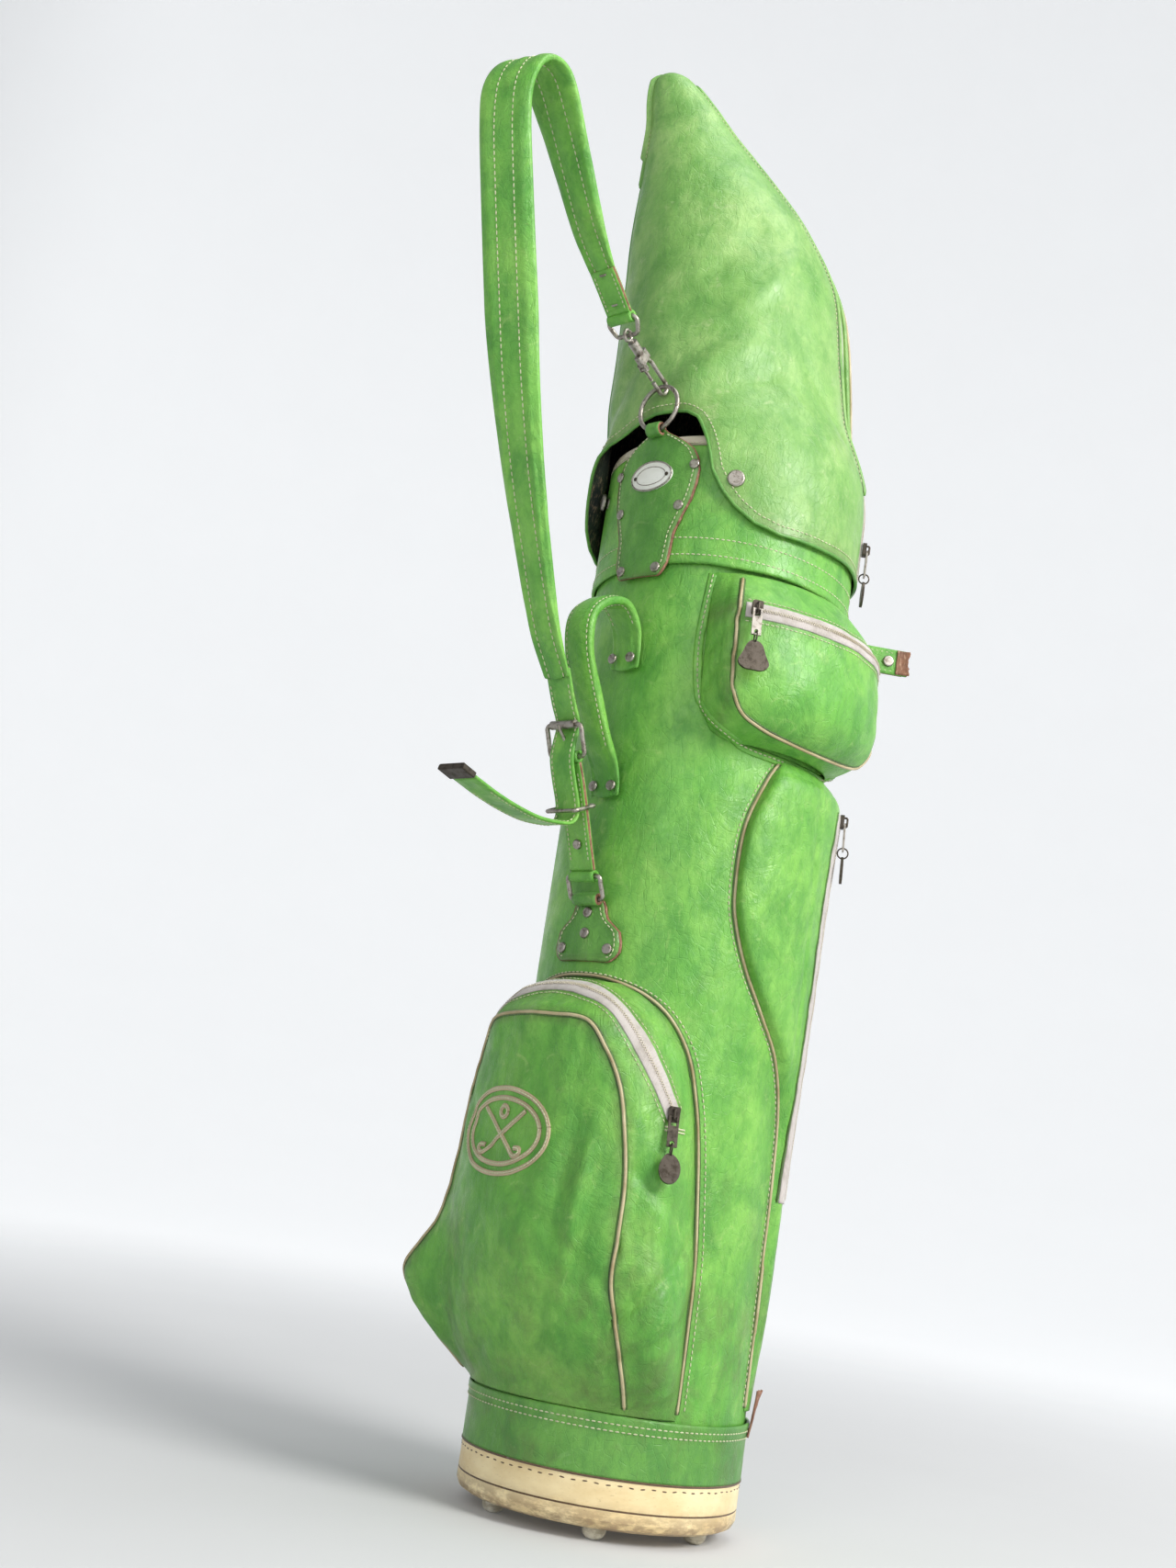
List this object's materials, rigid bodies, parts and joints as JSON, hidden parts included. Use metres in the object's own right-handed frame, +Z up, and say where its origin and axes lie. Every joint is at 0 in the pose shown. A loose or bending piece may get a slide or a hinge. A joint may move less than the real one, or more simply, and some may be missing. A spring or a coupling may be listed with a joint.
{
  "type": "carry golf bag with rain hood",
  "caption": "Slim round golf bag standing on studs, with zipped pockets, padded shoulder strap on a snap hook and buckle, hand grip, and a peaked lift-off rain hood.",
  "frame": {"origin": "on the floor under the middle of the tube, where the bag stands on its studs", "axes": "+Z up along the tube; -Y is the spine with the shoulder strap, grip and ball pocket; +X is the side of the accessory pocket"},
  "size_m": [0.3003, 0.4891, 1.294],
  "materials": {
    "green_vinyl": "glossy, aged and mottled",
    "padded_vinyl": "glossy vinyl over foam",
    "cream_plastic": "yellowed",
    "cream_trim": "satin",
    "fibreboard": "matt",
    "brown_leather": "worn",
    "zip_tape": "woven",
    "aged_nickel": "tarnished",
    "dark_bronze": "dark with worn rim",
    "white_enamel": "gloss enamel"
  },
  "bodies": {
    "bag": {"base_pan": "cream_plastic", "base_feet": "cream_plastic", "base_board": "fibreboard", "base_band": "green_vinyl", "body_tube": "fibreboard", "body_cover": "green_vinyl", "cuff": "green_vinyl", "rim_trim": "cream_trim", "top_hoop": "aged_nickel", "divider_rod": "aged_nickel", "divider_pad": "padded_vinyl", "upper_patch": "green_vinyl", "upper_patch_rivets": "aged_nickel", "badge": "white_enamel", "badge_pins": "aged_nickel", "lower_patch": "green_vinyl", "lower_patch_rivets": "aged_nickel", "hand_grip": "padded_vinyl", "hand_grip_rivets": "aged_nickel", "ball_pocket": "green_vinyl", "accessory_pocket": "green_vinyl", "garment_pocket": "green_vinyl", "ball_zip_tape": "zip_tape", "accessory_zip_tape": "zip_tape", "garment_zip_tape": "zip_tape", "cuff_snap_studs": "aged_nickel", "base_leather_tab": "brown_leather"},
    "hood": {"hood_shell": "green_vinyl", "hood_zip_tape": "zip_tape", "hood_snap_caps": "aged_nickel"},
    "ring": {"anchor_ring": "aged_nickel"},
    "square_ring": {"lower_ring": "aged_nickel"},
    "strap": {"strap_pad": "padded_vinyl", "strap_tail": "green_vinyl", "strap_tip": "aged_nickel", "strap_billet": "brown_leather", "strap_end_tab": "green_vinyl", "buckle_frame": "aged_nickel", "strap_keeper": "aged_nickel", "strap_end_loop": "aged_nickel", "strap_rivets": "aged_nickel", "hook_eye": "aged_nickel"},
    "roller": {"buckle_roller": "aged_nickel"},
    "prong": {"buckle_prong": "aged_nickel"},
    "hook": {"snap_hook": "aged_nickel"},
    "gate": {"hook_gate": "aged_nickel"},
    "umbrella_loop": {"umbrella_strap": "green_vinyl", "umbrella_snap": "aged_nickel"},
    "ball_slider": {"ball_zip_slider": "aged_nickel"},
    "ball_puller": {"ball_zip_puller": "aged_nickel"},
    "ball_charm": {"ball_zip_charm": "dark_bronze"},
    "accessory_slider": {"accessory_zip_slider": "aged_nickel"},
    "accessory_puller": {"accessory_zip_puller": "aged_nickel"},
    "accessory_charm": {"accessory_zip_charm": "dark_bronze"},
    "garment_slider": {"garment_zip_slider": "aged_nickel"},
    "garment_puller": {"garment_zip_puller": "aged_nickel"},
    "garment_charm": {"garment_zip_charm": "dark_bronze"},
    "hood_slider": {"hood_zip_slider": "aged_nickel"},
    "hood_puller": {"hood_zip_puller": "aged_nickel"},
    "hood_charm": {"hood_zip_charm": "dark_bronze"}
  },
  "joints": [
    {"name": "hood_lift", "type": "slide", "parent": "bag", "child": "hood", "axis": [0, 0, 1], "range_m": [0, 0.38]},
    {"name": "lower_ring_swing", "type": "hinge", "parent": "bag", "child": "square_ring", "pos_m": [0, -0.1172, 0.475], "axis": [1, 0, 0], "range_deg": [0, 20]},
    {"name": "strap_swing", "type": "hinge", "parent": "square_ring", "child": "strap", "pos_m": [0, -0.1255, 0.492], "axis": [1, 0, 0], "range_deg": [0, 60]},
    {"name": "anchor_ring_swing", "type": "hinge", "parent": "bag", "child": "ring", "pos_m": [0, -0.1202, 0.885], "axis": [1, 0, 0], "range_deg": [0, 90]},
    {"name": "buckle_roller_spin", "type": "hinge", "parent": "strap", "child": "roller", "pos_m": [0, -0.1763, 0.6038], "axis": [1, 0, 0], "continuous": true},
    {"name": "buckle_prong_swing", "type": "hinge", "parent": "strap", "child": "prong", "pos_m": [0, -0.1657, 0.5802], "axis": [1, 0, 0], "range_deg": [0, 40]},
    {"name": "hook_swivel", "type": "hinge", "parent": "strap", "child": "hook", "pos_m": [0, -0.1729, 0.9477], "axis": [0, -0.9184, 0.3956], "range_deg": [-30, 30]},
    {"name": "hook_gate_swing", "type": "hinge", "parent": "hook", "child": "gate", "pos_m": [0, -0.14607, 0.92939], "axis": [1, 0, 0], "range_deg": [0, 20], "stiffness_Nm_per_rad": 0.02, "springref_deg": -17.19},
    {"name": "umbrella_strap_swing", "type": "hinge", "parent": "bag", "child": "umbrella_loop", "pos_m": [0.07555, 0.0839, 0.746], "axis": [0, 0, 1], "range_deg": [-40, 60]},
    {"name": "ball_zip_slide", "type": "slide", "parent": "bag", "child": "ball_slider", "axis": [-0.2251, -0.5632, 0.7951], "range_m": [0, 0.0176]},
    {"name": "accessory_zip_slide", "type": "hinge", "parent": "bag", "child": "accessory_slider", "pos_m": [0, 0, 0.719], "axis": [0, 0, 1], "range_deg": [0, 62]},
    {"name": "garment_zip_slide", "type": "slide", "parent": "bag", "child": "garment_slider", "axis": [-0.0183, -0.0128, -0.9997], "range_m": [0, 0.3]},
    {"name": "hood_zip_slide", "type": "slide", "parent": "hood", "child": "hood_slider", "axis": [0.0391, 0.0311, 0.9988], "range_m": [0, 0.024]},
    {"name": "ball_puller_swing", "type": "hinge", "parent": "ball_slider", "child": "ball_puller", "pos_m": [0.10072, -0.09558, 0.3122], "axis": [-0.6884, -0.7254, 0], "range_deg": [0, 100]},
    {"name": "ball_charm_swing", "type": "hinge", "parent": "ball_puller", "child": "ball_charm", "pos_m": [0.10578, -0.10038, 0.28788], "axis": [-0.6884, -0.7254, 0], "range_deg": [0, 60]},
    {"name": "accessory_puller_swing", "type": "hinge", "parent": "accessory_slider", "child": "accessory_puller", "pos_m": [0.11801, -0.09902, 0.7172], "axis": [-0.6428, -0.766, 0], "range_deg": [0, 100]},
    {"name": "accessory_charm_swing", "type": "hinge", "parent": "accessory_puller", "child": "accessory_charm", "pos_m": [0.12137, -0.10185, 0.69228], "axis": [-0.6428, -0.766, 0], "range_deg": [0, 60]},
    {"name": "garment_puller_swing", "type": "hinge", "parent": "garment_slider", "child": "garment_puller", "pos_m": [0.10854, 0.076, 0.5842], "axis": [0.5736, -0.8192, 0], "range_deg": [0, 100]},
    {"name": "garment_charm_swing", "type": "hinge", "parent": "garment_puller", "child": "garment_charm", "pos_m": [0.10926, 0.07651, 0.55892], "axis": [0.5736, -0.8192, 0], "range_deg": [0, 60]},
    {"name": "hood_puller_swing", "type": "hinge", "parent": "hood_slider", "child": "hood_puller", "pos_m": [0.09689, 0.07707, 0.8362], "axis": [0.6225, -0.7826, 0], "range_deg": [0, 100]},
    {"name": "hood_charm_swing", "type": "hinge", "parent": "hood_puller", "child": "hood_charm", "pos_m": [0.09689, 0.07707, 0.8109], "axis": [0.6225, -0.7826, 0], "range_deg": [0, 60]}
  ],
  "couplings": [
    {"joint": "anchor_ring_swing", "follows": "strap_swing", "ratio": 1.5}
  ]
}
